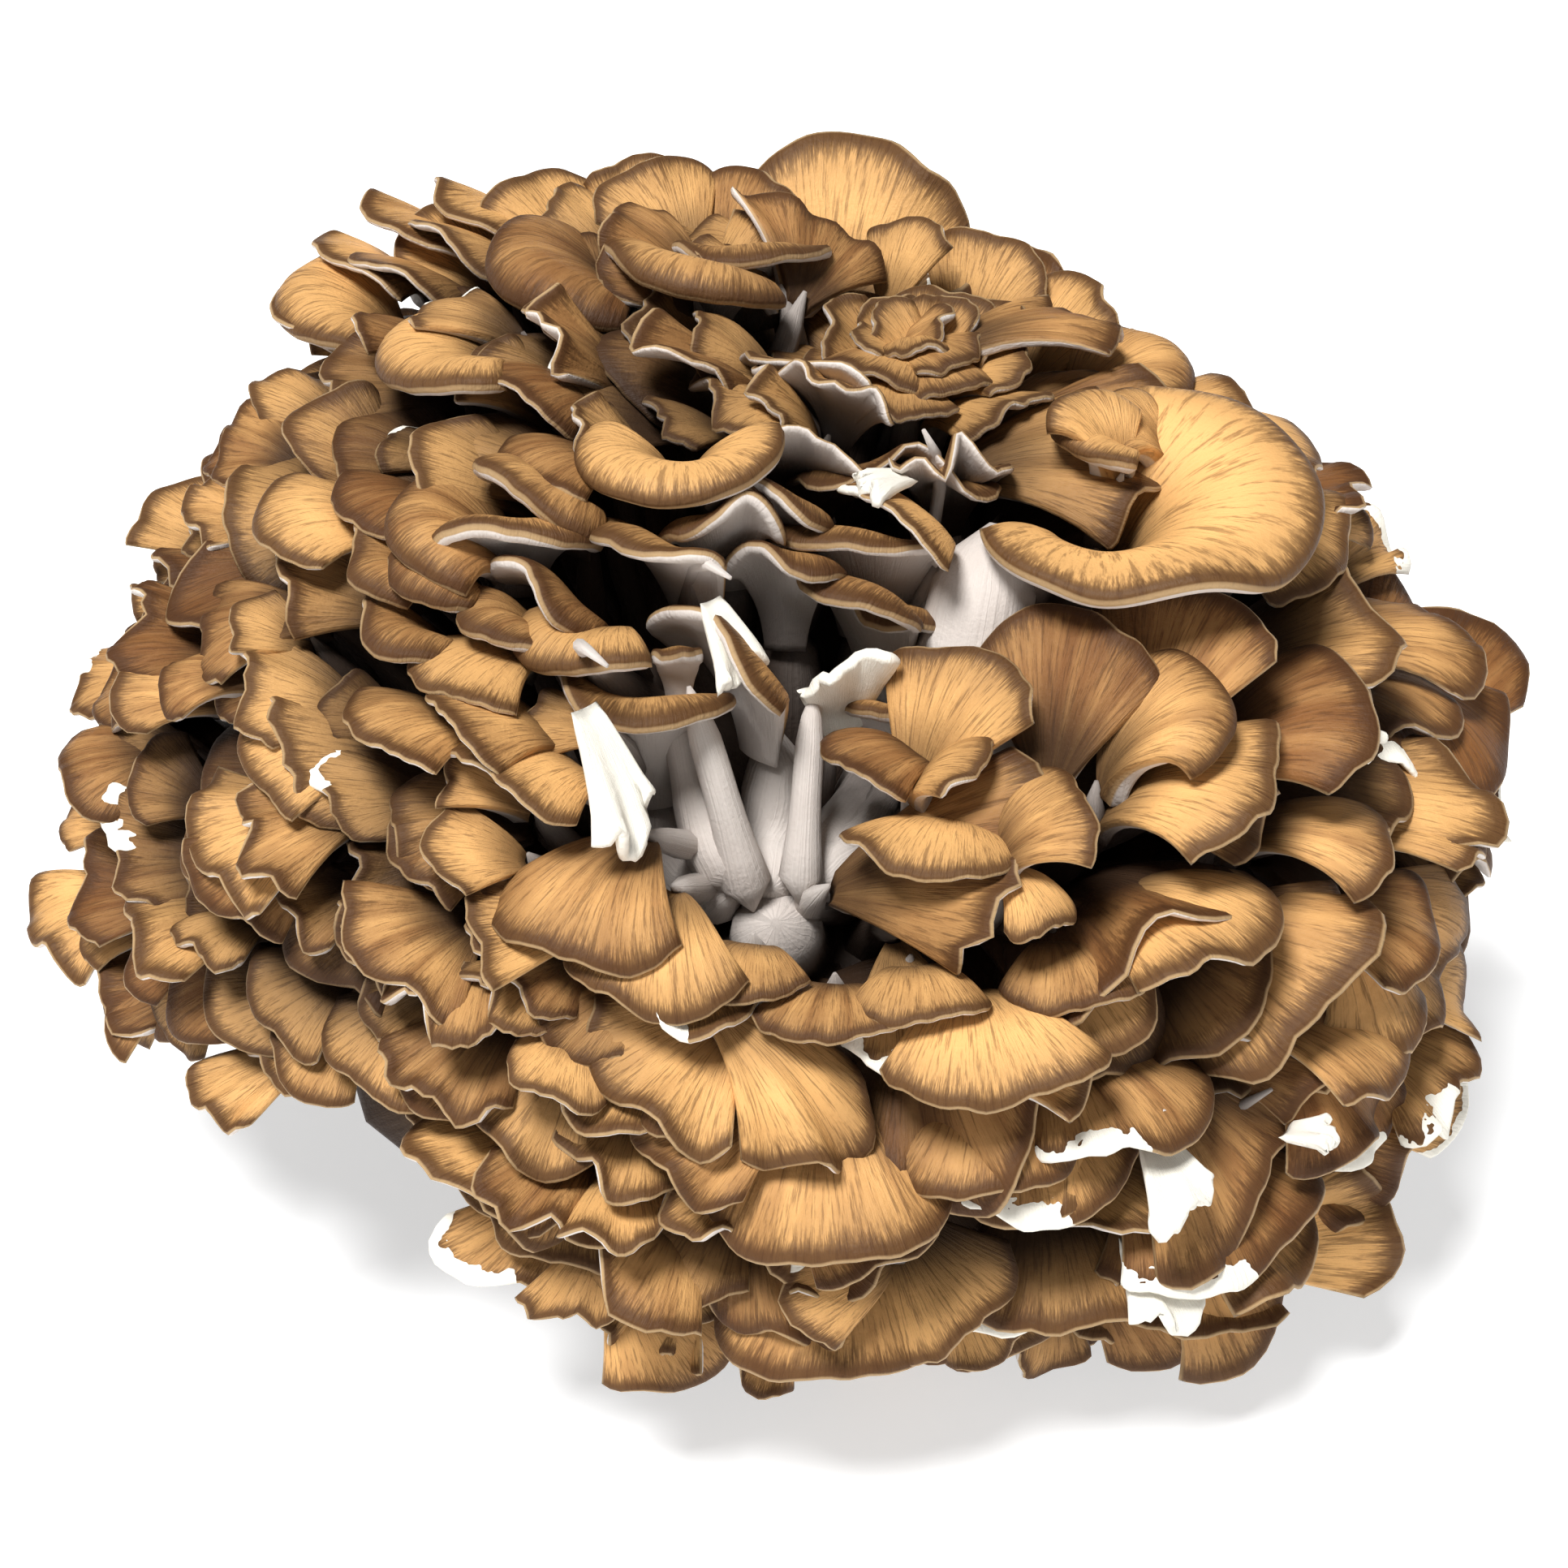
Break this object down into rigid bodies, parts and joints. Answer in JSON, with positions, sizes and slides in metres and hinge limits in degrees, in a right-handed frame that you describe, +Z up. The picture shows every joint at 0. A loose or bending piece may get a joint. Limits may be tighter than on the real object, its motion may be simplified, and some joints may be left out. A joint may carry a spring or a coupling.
{
  "type": "maitake mushroom",
  "caption": "Fresh picked maitake cluster: overlapping wavy fan-shaped fronds on branches from a thick stem, standing on its flat cut foot.",
  "frame": {"origin": "middle of the bounding box's underside, on the surface the cluster stands on", "axes": "+X to the right and +Y away, seen from the side with the open front rosette, +Z up"},
  "size_m": [0.3644, 0.3236, 0.2639],
  "materials": {
    "stem_flesh": "matte",
    "frond_flesh": "matte"
  },
  "bodies": {
    "root": {"stem_base": "stem_flesh", "spray_left_low": "frond_flesh", "spray_left": "frond_flesh", "spray_left_top": "frond_flesh", "spray_mid_left": "frond_flesh", "spray_crown_left": "frond_flesh", "spray_crown": "frond_flesh", "spray_crown_right": "frond_flesh", "spray_right_top": "frond_flesh", "spray_right": "frond_flesh", "spray_right_low": "frond_flesh", "spray_mid_right": "frond_flesh", "spray_centre": "frond_flesh", "spray_front_low": "frond_flesh", "spray_front_left": "frond_flesh", "spray_front": "frond_flesh", "spray_back_right": "frond_flesh", "spray_back": "frond_flesh", "spray_back_left": "frond_flesh"}
  },
  "joints": []
}
